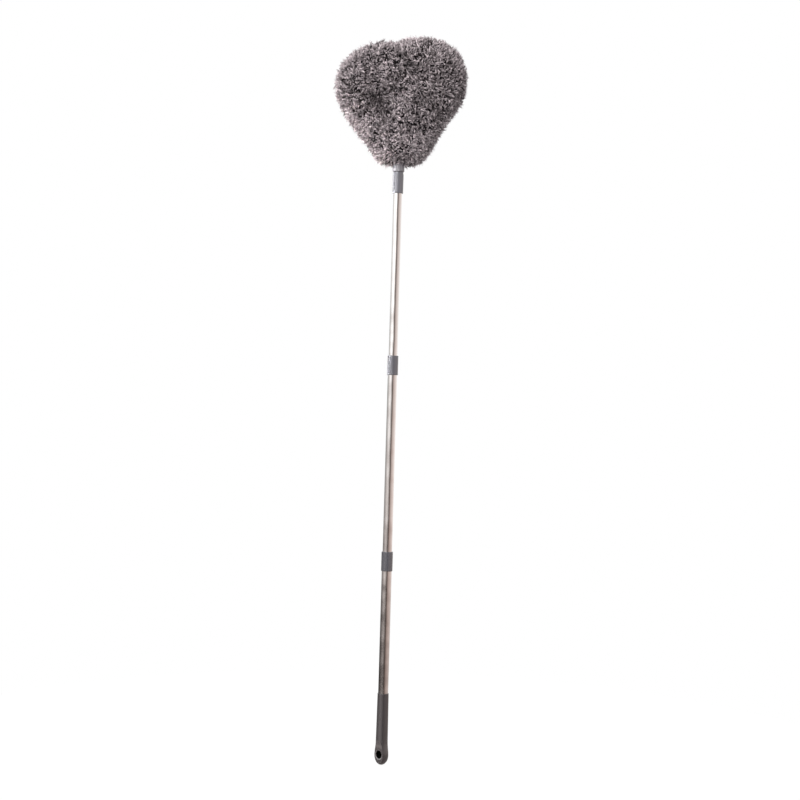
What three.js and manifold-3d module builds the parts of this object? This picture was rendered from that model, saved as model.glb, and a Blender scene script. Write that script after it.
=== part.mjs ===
// Telescopic duster: a three-section steel pole with twist locks, a moulded grip with a hang eye,
// and a screw-on head of fibres held in twisted wire that is bent into a heart.
// Millimetres, +Z up along the pole. Heights are counted from the tip of the grip, and the finished
// group is lowered so that the origin lies on the pole's axis at the middle of the hand's hold.

import * as THREE from 'three';
import { mergeVertices } from 'three/addons/utils/BufferGeometryUtils.js';
import Module from 'manifold-3d';

const wasm = await Module();
wasm.setup();

// Fits and facets
const ROUND = 32; // sides of a full turn
const INNER_ROUND = 24; // the same, on pieces hidden inside the pole and the head
const CURVE_STEPS = 8; // along each curve of an outline
const CUT_MARGIN = 1; // how far a cut runs past the face it opens
const SLIDE_GAP = 0.2; // radial, between tubes that telescope
const PRESS_GAP = 0.15; // radial, between pieces pushed together
const SEAT_GAP = 0.3; // along the pole, where one piece stops against another
const SOFT_GAP = 0.4; // between the fibre pile and the hard pieces inside it
const EDGE_BEVEL = 0.8; // on the ends of the moulded pieces

// Pole
const TUBE_WALL = 0.4;
const BOTTOM_TUBE_RADIUS = 10;
const BOTTOM_TUBE_LENGTH = 364;
const MIDDLE_TUBE_LENGTH = 432;
const TOP_TUBE_LENGTH = 406;
const TUBE_OVERLAP = 40; // what stays inside the tube below when the pole is drawn out

// Ferrules on the tube mouths
const FERRULE_WALL = 1.25;
const FERRULE_SLEEVE = 27; // below the mouth of the tube it sits on
const FERRULE_LIP = 12; // above that mouth, round the thinner tube

// Grip
const GRIP_LENGTH = 143;
const GRIP_TOP_RADIUS = 11.1;
const GRIP_WAIST_RADIUS = 12;
const GRIP_WAIST_HEIGHT = 46;
const BULB_RADIUS = 14.4;
const BULB_HEIGHT = 20; // of the bulb's widest place, and of its round underside
const TUBE_SEAT = 50; // floor of the bore that takes the bottom tube
const HOLD_HEIGHT = 92; // middle of the hand's hold

// Hang eye
const EYE_THICKNESS = 16;
const HANG_HOLE_RADIUS = 6.5;
const HANG_HOLE_HEIGHT = 21;
const HANG_HOLE_BEVEL = 3;
const SCOOP_MARGIN = 0.5; // past the bevelled hole, where the scoops start, and past the grip, where they end
const SCOOP_RUN = 11; // how far the scoops run on before they turn out

// Twist locks
const PLUG_LENGTH = 20; // pressed into the tube
const PLUG_BORE_RADIUS = 5;
const FLANGE_THICKNESS = 2;
const JOURNAL_RADIUS = 6;
const JOURNAL_LENGTH = 14;
const ECCENTRICITY = 0.8; // of the journal to the pole's axis
const TWIST = Math.PI / 2; // from locked to free
const LOCK_RING_GAP = 0.25; // radial, to the tube that it grips
const JOURNAL_GAP = 0.15;
const SLIT_WIDTH = 3;
const RETAINER_RADIUS = 8.6;
const LUG_INNER_RADIUS = 6.9;
const LUG_OUTER_RADIUS = 8.3;
const LUG_HEIGHT = 2;
const LUG_ANGLE = Math.PI / 6;
const LUG_PLAY = Math.PI / 60; // each way

// Connector on the top tube
const CONNECTOR_DEPTH = 30; // of the bore that takes the top tube
const CONNECTOR_WEB = 12.4; // solid stretch above that bore, up to the shoulder
const CONNECTOR_RADIUS = 10.8;
const CONNECTOR_FOOT_RADIUS = 10.5;
const CONNECTOR_TOP_RADIUS = 9.7;
const CONNECTOR_TAPER = 6;
const STUD_RADIUS = 6.5;
const STUD_LENGTH = 18;
const STUD_BORE_RADIUS = 3.5;
const STUD_CAP = 3;

// Socket and crimp of the head
const HEAD_TURN = THREE.MathUtils.degToRad(46); // of the flat head to the hang eye's faces
const SOCKET_RADIUS = 11.8;
const SOCKET_ROUND = 2.2;
const SOCKET_HEIGHT = 41;
const SOCKET_TAPER = 20;
const SOCKET_TOP_RADIUS = 9;
const SOCKET_FLUTES = 18; // shallow finger grooves round its lower part
const FLUTE_RADIUS = 1.2;
const FLUTE_DEPTH = 0.4;
const FLUTE_LENGTH = 10;
const FLUTE_SIDES = 8;
const THREAD_GAP = 0.3;
const THREAD_RUNOUT = 2; // room above the stud
const SOCKET_WEB = 3;
const CRIMP_WALL = 0.8;
const CRIMP_LENGTH = 30;

// Twisted wire, bent into a heart. Heights are above the connector's shoulder.
const WIRE_RADIUS = 1.05; // of one strand
const STRAND_GAP = 0.4;
const WIRE_TURNS = 16;
const STEPS_PER_TURN = 7;
const WIRE_SIDES = 4;
const STEM_GAP = 1.6; // between the two twisted ends in the crimp
const STEM_TOP = 52;
const LEG_HALF_WIDTH = 49;
const LEG_HEIGHT = 113;
const LOBE_HALF_WIDTH = 83;
const LOBE_SIDE_HEIGHT = 178;
const LOBE_CROWN_HALF_WIDTH = 51;
const LOBE_CROWN_HEIGHT = 218;
const LOBE_INNER_HALF_WIDTH = 18;
const LOBE_INNER_HEIGHT = 204;
const DIP_HEIGHT = 118;
const DIP_RADIUS = 14;
const DIP_ANGLE = Math.PI / 3; // of the round bottom of the dip, each way
const HEART_LEAN = 0.085; // rise of the heart to its right, in mm for each mm

// Fibre pile
const CORE_RADIUS = 46; // of the close pile round the wire
const FIBRE_REACH = 54; // tips of the tufts, from the wire
const REACH_SPREAD = 2.5;
const PILE_START = 55; // lowest fibres on the wire
const PILE_CENTRE_HEIGHT = 140;
const HOLLOW_DEPTH = 25; // least half thickness, in the hollows between the lobes
const PILE_SPOKES = 40;
const PILE_RINGS = 5;
const TUFT_RADIUS = 7;
const TUFT_ROOT = 7; // how deep a tuft starts inside the close pile
const TUFT_BEND = 7; // of the tip, to the side
const TUFT_PITCH = 13; // least distance between tips
const TUFT_ROOT_PITCH = 10.5; // and between roots
const TUFT_STATION = 4; // along the wire, between the places where tufts may start
const TUFT_SPOKES = 18; // directions tried round the wire at each place
const FOOT_FANS = 4; // rows of tufts that fan down at the feet of the wire
const FOOT_SPREAD = THREE.MathUtils.degToRad(72);
const CHANNEL_SIDES = 5;
const CHANNEL_STEPS = 90;

// Sizes that follow from the ones above
const middleTubeRadius = BOTTOM_TUBE_RADIUS - TUBE_WALL - SLIDE_GAP;
const topTubeRadius = middleTubeRadius - TUBE_WALL - SLIDE_GAP;
const bottomTubeFoot = TUBE_SEAT + SEAT_GAP;
const bottomTubeTop = bottomTubeFoot + BOTTOM_TUBE_LENGTH;
const middleTubeFoot = bottomTubeTop - TUBE_OVERLAP;
const middleTubeTop = middleTubeFoot + MIDDLE_TUBE_LENGTH;
const topTubeFoot = middleTubeTop - TUBE_OVERLAP;
const topTubeTop = topTubeFoot + TOP_TUBE_LENGTH;
const connectorFloor = topTubeTop + SEAT_GAP;
const shoulder = connectorFloor + CONNECTOR_WEB;
const socketFoot = shoulder + SEAT_GAP;
const socketTop = socketFoot + SOCKET_HEIGHT;
const threadRadius = STUD_RADIUS + THREAD_GAP;
const threadTop = shoulder + STUD_LENGTH + THREAD_RUNOUT;
const crimpFloor = threadTop + SOCKET_WEB;
const helixRadius = WIRE_RADIUS + STRAND_GAP / 2;
const wireReach = helixRadius + WIRE_RADIUS; // of the twisted pair, from its middle line
const stemHalfWidth = wireReach + STEM_GAP / 2;
const crimpInnerRadius = stemHalfWidth + wireReach + PRESS_GAP;
const crimpRadius = crimpInnerRadius + CRIMP_WALL;
const crimpFoot = crimpFloor + SEAT_GAP;
const crimpTop = crimpFoot + CRIMP_LENGTH;

// Materials
const gripPlastic = new THREE.MeshStandardMaterial({ color: 0x5d5653, roughness: 0.5, metalness: 0 });
const greyPlastic = new THREE.MeshStandardMaterial({ color: 0x97979a, roughness: 0.45, metalness: 0 });
const lockPlastic = new THREE.MeshStandardMaterial({ color: 0x2f2f31, roughness: 0.5, metalness: 0 });
const steel = new THREE.MeshStandardMaterial({ color: 0xcfcbc8, roughness: 0.2, metalness: 1 });
const wireSteel = new THREE.MeshStandardMaterial({ color: 0x9b9894, roughness: 0.35, metalness: 1 });
const fibre = new THREE.MeshStandardMaterial({ color: 0x746b6d, roughness: 0.95, metalness: 0 });

// Turns a closed geometry into a solid that can be joined and cut.
function solidOf(geometry) {
  const bare = geometry.clone();
  bare.deleteAttribute('normal');
  bare.deleteAttribute('uv');
  const merged = mergeVertices(bare);
  const corners = merged.index.array;
  const triVerts = [];
  for (let i = 0; i < corners.length; i += 3) {
    const [a, b, c] = [corners[i], corners[i + 1], corners[i + 2]];
    if (a !== b && b !== c && c !== a) {
      triVerts.push(a, b, c);
    }
  }
  const mesh = new wasm.Mesh({
    numProp: 3,
    vertProperties: new Float32Array(merged.attributes.position.array),
    triVerts: new Uint32Array(triVerts),
  });
  return new wasm.Manifold(mesh);
}

function geometryOf(solid) {
  const mesh = solid.getMesh();
  const geometry = new THREE.BufferGeometry();
  geometry.setAttribute('position', new THREE.BufferAttribute(mesh.vertProperties, mesh.numProp));
  geometry.setIndex(new THREE.BufferAttribute(mesh.triVerts, 1));
  geometry.computeVertexNormals();
  return geometry;
}

function piece(name, solid, material) {
  const mesh = new THREE.Mesh(geometryOf(solid), material);
  mesh.name = name;
  return mesh;
}

// A profile of [radius, height] pairs, counter-clockwise, turned about the pole's axis.
// It starts and ends on the axis.
function turned(profile, sides = ROUND) {
  const points = profile.map(([radius, height]) => new THREE.Vector2(radius, height));
  const geometry = new THREE.LatheGeometry(points, sides);
  geometry.rotateX(Math.PI / 2);
  return solidOf(geometry);
}

// The same for a profile that closes on itself, away from the axis.
function turnedRing(profile, sides = ROUND) {
  return turned([...profile, profile[0]], sides);
}

function disc(radius, foot, top) {
  return turned([[0, foot], [radius, foot], [radius, top], [0, top]], INNER_ROUND);
}

function prism(shape, foot, top) {
  const settings = { depth: top - foot, bevelEnabled: false, curveSegments: INNER_ROUND / 2 };
  const geometry = new THREE.ExtrudeGeometry(shape, settings);
  geometry.translate(0, 0, foot);
  return solidOf(geometry);
}

// Part of a flat ring about the pole's axis, from one angle to another.
function sector(innerRadius, outerRadius, from, to, foot, top) {
  const shape = new THREE.Shape();
  shape.absarc(0, 0, outerRadius, from, to, false);
  shape.absarc(0, 0, innerRadius, to, from, true);
  shape.closePath();
  return prism(shape, foot, top);
}

function polygon(radius, sides) {
  const shape = new THREE.Shape();
  for (let i = 0; i < sides; i += 1) {
    const angle = (i + 0.5) * 2 * Math.PI / sides;
    const [x, y] = [radius * Math.cos(angle), radius * Math.sin(angle)];
    if (i === 0) {
      shape.moveTo(x, y);
    } else {
      shape.lineTo(x, y);
    }
  }
  shape.closePath();
  return shape;
}

function sweep(shape, path, steps) {
  return solidOf(new THREE.ExtrudeGeometry(shape, { steps, extrudePath: path, bevelEnabled: false }));
}

function tube(radius, foot, length) {
  const inner = radius - TUBE_WALL;
  const top = foot + length;
  return turnedRing([[inner, foot], [radius, foot], [radius, top], [inner, top]]);
}

// Sleeve on the mouth of the outer tube, with a lip that closes on the inner tube.
function ferrule(outerTubeRadius, innerTubeRadius, mouth) {
  const bore = outerTubeRadius + PRESS_GAP;
  const lip = innerTubeRadius + SLIDE_GAP;
  const radius = bore + FERRULE_WALL;
  const foot = mouth - FERRULE_SLEEVE;
  const top = mouth + FERRULE_LIP;
  const seat = mouth + SEAT_GAP;
  return turnedRing([
    [bore, foot],
    [radius - EDGE_BEVEL, foot],
    [radius, foot + EDGE_BEVEL],
    [radius, top - EDGE_BEVEL],
    [radius - EDGE_BEVEL, top],
    [lip, top],
    [lip, seat],
    [bore, seat],
  ]);
}

// Grip: a bulb with a round underside that draws in to a slim handle, bored for the bottom tube.
function gripBody() {
  const bore = BOTTOM_TUBE_RADIUS + PRESS_GAP;
  const underside = new THREE.EllipseCurve(0, BULB_HEIGHT, BULB_RADIUS, BULB_HEIGHT, -Math.PI / 2, 0);
  const draw = (GRIP_WAIST_HEIGHT - BULB_HEIGHT) / 2;
  const shoulderCurve = new THREE.CubicBezierCurve(
    new THREE.Vector2(BULB_RADIUS, BULB_HEIGHT),
    new THREE.Vector2(BULB_RADIUS, BULB_HEIGHT + draw),
    new THREE.Vector2(GRIP_WAIST_RADIUS, GRIP_WAIST_HEIGHT - draw),
    new THREE.Vector2(GRIP_WAIST_RADIUS, GRIP_WAIST_HEIGHT),
  );
  const outline = [...underside.getPoints(CURVE_STEPS), ...shoulderCurve.getPoints(CURVE_STEPS).slice(1)];
  const profile = outline.map((point) => [point.x, point.y]);
  profile[0][0] = 0;
  const rim = Math.min(EDGE_BEVEL, (GRIP_TOP_RADIUS - bore) / 2);
  profile.push([GRIP_TOP_RADIUS, GRIP_LENGTH - rim]);
  profile.push([GRIP_TOP_RADIUS - rim, GRIP_LENGTH]);
  profile.push([bore, GRIP_LENGTH]);
  profile.push([bore, TUBE_SEAT]);
  profile.push([0, TUBE_SEAT]);
  return turned(profile);
}

// What is cut from one side of the bulb: a flat cheek that sweeps out to the grip in a scoop.
function cheekCut() {
  const half = EYE_THICKNESS / 2;
  const beyond = 2 * BULB_RADIUS;
  const scoopStart = HANG_HOLE_HEIGHT + HANG_HOLE_RADIUS + HANG_HOLE_BEVEL + SCOOP_MARGIN;
  const shape = new THREE.Shape();
  shape.moveTo(half, -BULB_HEIGHT);
  shape.lineTo(half, scoopStart);
  shape.quadraticCurveTo(half, scoopStart + SCOOP_RUN, GRIP_WAIST_RADIUS + SCOOP_MARGIN, TUBE_SEAT);
  shape.lineTo(beyond, TUBE_SEAT);
  shape.lineTo(beyond, -BULB_HEIGHT);
  shape.closePath();
  const settings = { depth: 2 * beyond, bevelEnabled: false, curveSegments: CURVE_STEPS };
  const geometry = new THREE.ExtrudeGeometry(shape, settings);
  geometry.translate(0, 0, -beyond);
  const across = new THREE.Vector3(0, 1, 0);
  const up = new THREE.Vector3(0, 0, 1);
  const along = new THREE.Vector3(1, 0, 0);
  geometry.applyMatrix4(new THREE.Matrix4().makeBasis(across, up, along));
  return geometry;
}

// Bevelled hole through the eye, along Y.
function hangHole() {
  const half = EYE_THICKNESS / 2;
  const wide = HANG_HOLE_RADIUS + HANG_HOLE_BEVEL;
  const points = [
    [0, -BULB_RADIUS],
    [wide, -BULB_RADIUS],
    [wide, -half],
    [HANG_HOLE_RADIUS, HANG_HOLE_BEVEL - half],
    [HANG_HOLE_RADIUS, half - HANG_HOLE_BEVEL],
    [wide, half],
    [wide, BULB_RADIUS],
    [0, BULB_RADIUS],
  ].map(([radius, along]) => new THREE.Vector2(radius, along));
  const geometry = new THREE.LatheGeometry(points, ROUND);
  geometry.translate(0, 0, HANG_HOLE_HEIGHT);
  return solidOf(geometry);
}

function grip() {
  const cheek = cheekCut();
  const front = solidOf(cheek);
  const back = solidOf(cheek.clone().rotateZ(Math.PI));
  return gripBody().subtract(front).subtract(back).subtract(hangHole());
}

// Lock plug: pressed into the foot of a tube, with an eccentric journal below it and a retainer
// whose lug stops the twist.
function lockPlug(tubeRadius, tubeFoot) {
  const press = tubeRadius - TUBE_WALL - PRESS_GAP;
  const flangeTop = tubeFoot - SEAT_GAP;
  const flangeFoot = flangeTop - FLANGE_THICKNESS;
  const top = tubeFoot + PLUG_LENGTH;
  const body = turned([
    [0, flangeFoot],
    [tubeRadius, flangeFoot],
    [tubeRadius, flangeTop],
    [press, flangeTop],
    [press, top - EDGE_BEVEL],
    [press - EDGE_BEVEL, top],
    [PLUG_BORE_RADIUS, top],
    [PLUG_BORE_RADIUS, tubeFoot],
    [0, tubeFoot],
  ], INNER_ROUND);
  const journalFoot = flangeFoot - JOURNAL_LENGTH;
  const sunk = FLANGE_THICKNESS / 2;
  const locked = -TWIST / 2;
  const offset = [ECCENTRICITY * Math.cos(locked), ECCENTRICITY * Math.sin(locked), 0];
  const journal = disc(JOURNAL_RADIUS, journalFoot - sunk, flangeFoot + sunk).translate(offset);
  const retainer = disc(RETAINER_RADIUS, journalFoot - FLANGE_THICKNESS, journalFoot);
  const lugMiddle = Math.PI + locked;
  const lug = sector(
    LUG_INNER_RADIUS,
    LUG_OUTER_RADIUS,
    lugMiddle - LUG_ANGLE / 2,
    lugMiddle + LUG_ANGLE / 2,
    journalFoot - sunk,
    journalFoot + LUG_HEIGHT,
  );
  return body.add(journal).add(retainer).add(lug);
}

// Lock ring: split, with an eccentric bore. Turning the journal in it spreads it in the outer tube.
function lockRing(outerTubeRadius, tubeFoot) {
  const radius = outerTubeRadius - TUBE_WALL - LOCK_RING_GAP;
  const boreOffset = ECCENTRICITY * Math.cos(TWIST / 2);
  const bore = JOURNAL_RADIUS + ECCENTRICITY * Math.sin(TWIST / 2) + JOURNAL_GAP;
  const top = tubeFoot - SEAT_GAP - FLANGE_THICKNESS - SEAT_GAP;
  const foot = top + 2 * SEAT_GAP - JOURNAL_LENGTH;
  const body = disc(radius, foot, top);
  const hole = disc(bore, foot - CUT_MARGIN, top + CUT_MARGIN).translate([boreOffset, 0, 0]);
  const slit = new THREE.BoxGeometry(radius, SLIT_WIDTH, 2 * JOURNAL_LENGTH);
  slit.translate(bore + radius / 2, 0, foot);
  const sweepHalf = (TWIST + LUG_ANGLE) / 2 + LUG_PLAY;
  const recess = sector(
    JOURNAL_RADIUS - ECCENTRICITY,
    LUG_OUTER_RADIUS + SEAT_GAP,
    Math.PI - sweepHalf,
    Math.PI + sweepHalf,
    foot - CUT_MARGIN,
    foot + LUG_HEIGHT,
  );
  return body.subtract(hole).subtract(solidOf(slit)).subtract(recess);
}

// Connector: a cap on the top tube that ends in a hollow screw stud.
function connector() {
  const bore = topTubeRadius + PRESS_GAP;
  const foot = connectorFloor - CONNECTOR_DEPTH;
  const studTop = shoulder + STUD_LENGTH;
  return turned([
    [0, studTop - STUD_CAP],
    [STUD_BORE_RADIUS, studTop - STUD_CAP],
    [STUD_BORE_RADIUS, connectorFloor],
    [bore, connectorFloor],
    [bore, foot],
    [CONNECTOR_FOOT_RADIUS - EDGE_BEVEL / 2, foot],
    [CONNECTOR_FOOT_RADIUS, foot + EDGE_BEVEL],
    [CONNECTOR_RADIUS, connectorFloor],
    [CONNECTOR_RADIUS, shoulder - CONNECTOR_TAPER],
    [CONNECTOR_TOP_RADIUS, shoulder],
    [STUD_RADIUS, shoulder],
    [STUD_RADIUS, studTop - EDGE_BEVEL],
    [STUD_RADIUS - EDGE_BEVEL, studTop],
    [0, studTop],
  ]);
}

// Socket: screws onto the stud from below and takes the crimped wire from above. Fluted for the fingers.
function headSocket() {
  const rim = new THREE.EllipseCurve(
    SOCKET_RADIUS - SOCKET_ROUND,
    socketFoot + SOCKET_ROUND,
    SOCKET_ROUND,
    SOCKET_ROUND,
    -Math.PI / 2,
    0,
  ).getPoints(CURVE_STEPS / 2);
  const stemBore = crimpRadius + PRESS_GAP;
  const body = turned([
    [0, threadTop],
    [threadRadius, threadTop],
    [threadRadius, socketFoot],
    ...rim.map((point) => [point.x, point.y]),
    [SOCKET_RADIUS, socketTop - SOCKET_TAPER],
    [SOCKET_TOP_RADIUS, socketTop],
    [stemBore, socketTop],
    [stemBore, crimpFloor],
    [0, crimpFloor],
  ], 2 * SOCKET_FLUTES);
  const fluteFoot = socketFoot + SOCKET_ROUND;
  const flute = prism(polygon(FLUTE_RADIUS, FLUTE_SIDES), fluteFoot, fluteFoot + FLUTE_LENGTH);
  const outermost = flute.translate([SOCKET_RADIUS - FLUTE_DEPTH + FLUTE_RADIUS, 0, 0]);
  const flutes = [];
  for (let i = 0; i < SOCKET_FLUTES; i += 1) {
    flutes.push(outermost.rotate([0, 0, 360 * i / SOCKET_FLUTES]));
  }
  return body.subtract(wasm.Manifold.union(flutes));
}

function crimpSleeve() {
  return turnedRing([
    [crimpInnerRadius, crimpFoot],
    [crimpRadius, crimpFoot],
    [crimpRadius, crimpTop],
    [crimpInnerRadius, crimpTop],
  ], INNER_ROUND);
}

// Middle line of the wire: up the stem, out along one leg, over its lobe, down into the dip and back.
function heartPoint(x, height) {
  const lean = height > STEM_TOP ? HEART_LEAN * x : 0;
  return new THREE.Vector3(x, 0, shoulder + height + lean);
}

function heartLine() {
  const half = [
    [stemHalfWidth, crimpFoot + SEAT_GAP - shoulder],
    [stemHalfWidth, STEM_TOP],
    [LEG_HALF_WIDTH, LEG_HEIGHT],
    [LOBE_HALF_WIDTH, LOBE_SIDE_HEIGHT],
    [LOBE_CROWN_HALF_WIDTH, LOBE_CROWN_HEIGHT],
    [LOBE_INNER_HALF_WIDTH, LOBE_INNER_HEIGHT],
    [DIP_RADIUS * Math.sin(DIP_ANGLE), DIP_HEIGHT + DIP_RADIUS * (1 - Math.cos(DIP_ANGLE))],
  ];
  const right = half.map(([x, height]) => heartPoint(x, height));
  const left = half.map(([x, height]) => heartPoint(-x, height)).reverse();
  return new THREE.CatmullRomCurve3([...right, heartPoint(0, DIP_HEIGHT), ...left], false, 'centripetal');
}

const heart = heartLine();
const ACROSS = new THREE.Vector3(0, 1, 0);

// In-plane normal of the heart at a share of its length.
function heartNormal(share) {
  const tangent = heart.getTangentAt(share);
  return new THREE.Vector3(tangent.z, 0, -tangent.x).normalize();
}

class TwistedStrand extends THREE.Curve {
  constructor(phase) {
    super();
    this.phase = phase;
    this.arcLengthDivisions = WIRE_TURNS * STEPS_PER_TURN * 4;
  }

  getPoint(share, target = new THREE.Vector3()) {
    const angle = this.phase + 2 * Math.PI * WIRE_TURNS * share;
    target.copy(heart.getPointAt(share));
    target.addScaledVector(heartNormal(share), helixRadius * Math.cos(angle));
    target.addScaledVector(ACROSS, helixRadius * Math.sin(angle));
    return target;
  }
}

function wireStrand(phase) {
  return sweep(polygon(WIRE_RADIUS, WIRE_SIDES), new TwistedStrand(phase), WIRE_TURNS * STEPS_PER_TURN);
}

// The stretch of wire that carries fibres, as closely spaced points with their normals.
function fibreStations() {
  const count = Math.round(heart.getLength() / TUFT_STATION);
  const stations = [];
  for (let i = 0; i <= count; i += 1) {
    const point = heart.getPointAt(i / count);
    if (point.z > shoulder + PILE_START) {
      stations.push({ point, normal: heartNormal(i / count), tangent: heart.getTangentAt(i / count) });
    }
  }
  return stations;
}

const stations = fibreStations();

function distanceToWire(point) {
  return Math.min(...stations.map((station) => station.point.distanceTo(point)));
}

// Close pile: a pillow round the heart, as thick as the fibres are long, drawn in between the lobes.
function closePile() {
  const centre = new THREE.Vector3(0, 0, shoulder + PILE_CENTRE_HEIGHT);
  const positions = [];
  const far = 2 * (LOBE_HALF_WIDTH + CORE_RADIUS);
  const halfThickness = (point) => {
    const away = distanceToWire(point);
    const round = Math.sqrt(Math.max(CORE_RADIUS ** 2 - away ** 2, 0));
    return Math.max(round, HOLLOW_DEPTH);
  };
  const front = [];
  const back = [];
  const rim = [];
  const addPoint = (x, y, z) => {
    positions.push(x, y, z);
    return positions.length / 3 - 1;
  };
  const crown = halfThickness(centre);
  const frontPole = addPoint(centre.x, -crown, centre.z);
  const backPole = addPoint(centre.x, crown, centre.z);
  for (let spoke = 0; spoke < PILE_SPOKES; spoke += 1) {
    const angle = 2 * Math.PI * spoke / PILE_SPOKES;
    const direction = new THREE.Vector3(Math.cos(angle), 0, Math.sin(angle));
    let [inside, outside] = [0, far];
    while (outside - inside > SOFT_GAP) {
      const middle = (inside + outside) / 2;
      const covered = distanceToWire(centre.clone().addScaledVector(direction, middle)) < CORE_RADIUS;
      if (covered) {
        inside = middle;
      } else {
        outside = middle;
      }
    }
    front.push([]);
    back.push([]);
    for (let ring = 1; ring < PILE_RINGS; ring += 1) {
      const share = Math.sin(Math.PI / 2 * ring / PILE_RINGS);
      const point = centre.clone().addScaledVector(direction, inside * share);
      const thick = halfThickness(point);
      front[spoke].push(addPoint(point.x, -thick, point.z));
      back[spoke].push(addPoint(point.x, thick, point.z));
    }
    const edge = centre.clone().addScaledVector(direction, inside);
    rim.push(addPoint(edge.x, 0, edge.z));
  }
  const triangles = [];
  for (let spoke = 0; spoke < PILE_SPOKES; spoke += 1) {
    const next = (spoke + 1) % PILE_SPOKES;
    const frontHere = [...front[spoke], rim[spoke]];
    const frontNext = [...front[next], rim[next]];
    const backHere = [...back[spoke], rim[spoke]];
    const backNext = [...back[next], rim[next]];
    triangles.push(frontPole, frontHere[0], frontNext[0]);
    triangles.push(backPole, backNext[0], backHere[0]);
    for (let ring = 0; ring < PILE_RINGS - 1; ring += 1) {
      triangles.push(frontHere[ring], frontHere[ring + 1], frontNext[ring + 1]);
      triangles.push(frontHere[ring], frontNext[ring + 1], frontNext[ring]);
      triangles.push(backHere[ring], backNext[ring + 1], backHere[ring + 1]);
      triangles.push(backHere[ring], backNext[ring], backNext[ring + 1]);
    }
  }
  const geometry = new THREE.BufferGeometry();
  geometry.setAttribute('position', new THREE.Float32BufferAttribute(positions, 3));
  geometry.setIndex(triangles);
  return solidOf(geometry);
}

// One tuft: three-sided, wide where it leaves the close pile, leaning over to a point.
function tuft(root, tip, bend) {
  const axis = tip.clone().sub(root).normalize();
  const side = new THREE.Vector3().crossVectors(axis, bend).normalize();
  const other = new THREE.Vector3().crossVectors(axis, side);
  const positions = [];
  for (let corner = 0; corner < 3; corner += 1) {
    const angle = 2 * Math.PI * corner / 3;
    const point = root.clone();
    point.addScaledVector(side, TUFT_RADIUS * Math.cos(angle));
    point.addScaledVector(other, TUFT_RADIUS * Math.sin(angle));
    positions.push(...point.toArray());
  }
  positions.push(...tip.toArray());
  const geometry = new THREE.BufferGeometry();
  geometry.setAttribute('position', new THREE.Float32BufferAttribute(positions, 3));
  geometry.setIndex([0, 2, 1, 0, 1, 3, 1, 2, 3, 2, 0, 3]);
  return solidOf(geometry);
}

// Directions that fibres take from the wire: square to it all along, and fanned down at its two feet.
function tuftRows() {
  const rows = stations.map((station) => ({ ...station, tilt: 0 }));
  for (let fan = 1; fan <= FOOT_FANS; fan += 1) {
    const tilt = FOOT_SPREAD * fan / FOOT_FANS;
    rows.push({ ...stations.at(0), tilt: -tilt });
    rows.push({ ...stations.at(-1), tilt });
  }
  return rows;
}

function clearOfSocket(point) {
  const room = SOCKET_RADIUS + SOFT_GAP + TUFT_RADIUS;
  return point.z > socketTop || Math.hypot(point.x, point.y) > room;
}

// Tufts stand no closer than their pitch, clear of the socket, and only where their tips lie outside
// the pile of the rest of the heart.
function tufts() {
  const roots = [];
  const tips = [];
  const solids = [];
  tuftRows().forEach(({ point, normal, tangent, tilt }, row) => {
    for (let spoke = 0; spoke < TUFT_SPOKES; spoke += 1) {
      const angle = 2 * Math.PI * (spoke + (row % 2) / 2) / TUFT_SPOKES;
      const out = normal.clone().multiplyScalar(Math.cos(angle));
      out.addScaledVector(ACROSS, Math.sin(angle));
      out.multiplyScalar(Math.cos(tilt)).addScaledVector(tangent, Math.sin(tilt));
      const reach = FIBRE_REACH + REACH_SPREAD * Math.sin(row * TUFT_SPOKES + spoke ** 2);
      const round = new THREE.Vector3().crossVectors(out, tangent);
      const bend = tangent.clone().multiplyScalar(TUFT_BEND * Math.sin(row + 2 * spoke));
      bend.addScaledVector(round, TUFT_BEND * Math.cos(row + spoke));
      const root = point.clone().addScaledVector(out, CORE_RADIUS - TUFT_ROOT);
      const tip = point.clone().addScaledVector(out, reach).add(bend);
      const open = distanceToWire(tip) > FIBRE_REACH - REACH_SPREAD;
      const clear = clearOfSocket(root) && clearOfSocket(tip);
      const free = tips.every((other) => other.distanceTo(tip) > TUFT_PITCH);
      const apart = roots.every((other) => other.distanceTo(root) > TUFT_ROOT_PITCH);
      if (open && clear && free && apart) {
        roots.push(root);
        tips.push(tip);
        solids.push(tuft(root, tip, bend));
      }
    }
  });
  return solids;
}

// The pile: close pile and tufts in one, hollowed for the wire, the crimp and the socket's top.
function fibrePile() {
  const channelRadius = (wireReach + SOFT_GAP) / Math.cos(Math.PI / CHANNEL_SIDES);
  const channel = sweep(polygon(channelRadius, CHANNEL_SIDES), heart, CHANNEL_STEPS);
  const socketRoom = disc(SOCKET_RADIUS + SOFT_GAP, socketFoot - SOFT_GAP, socketTop + SOFT_GAP);
  const crimpRoom = disc(crimpRadius + SOFT_GAP, crimpFoot, crimpTop + SOFT_GAP);
  const strands = tufts();
  const pile = wasm.Manifold.union([closePile(), ...strands]);
  return pile.subtract(channel).subtract(crimpRoom).subtract(socketRoom);
}

// Assembly
const lowerFerrule = ferrule(BOTTOM_TUBE_RADIUS, middleTubeRadius, bottomTubeTop);
const handleSection = new THREE.Group();
handleSection.add(piece('handle_grip', grip(), gripPlastic));
handleSection.add(piece('bottom_tube', tube(BOTTOM_TUBE_RADIUS, bottomTubeFoot, BOTTOM_TUBE_LENGTH), steel));
handleSection.add(piece('lower_ferrule', lowerFerrule, greyPlastic));

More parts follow.
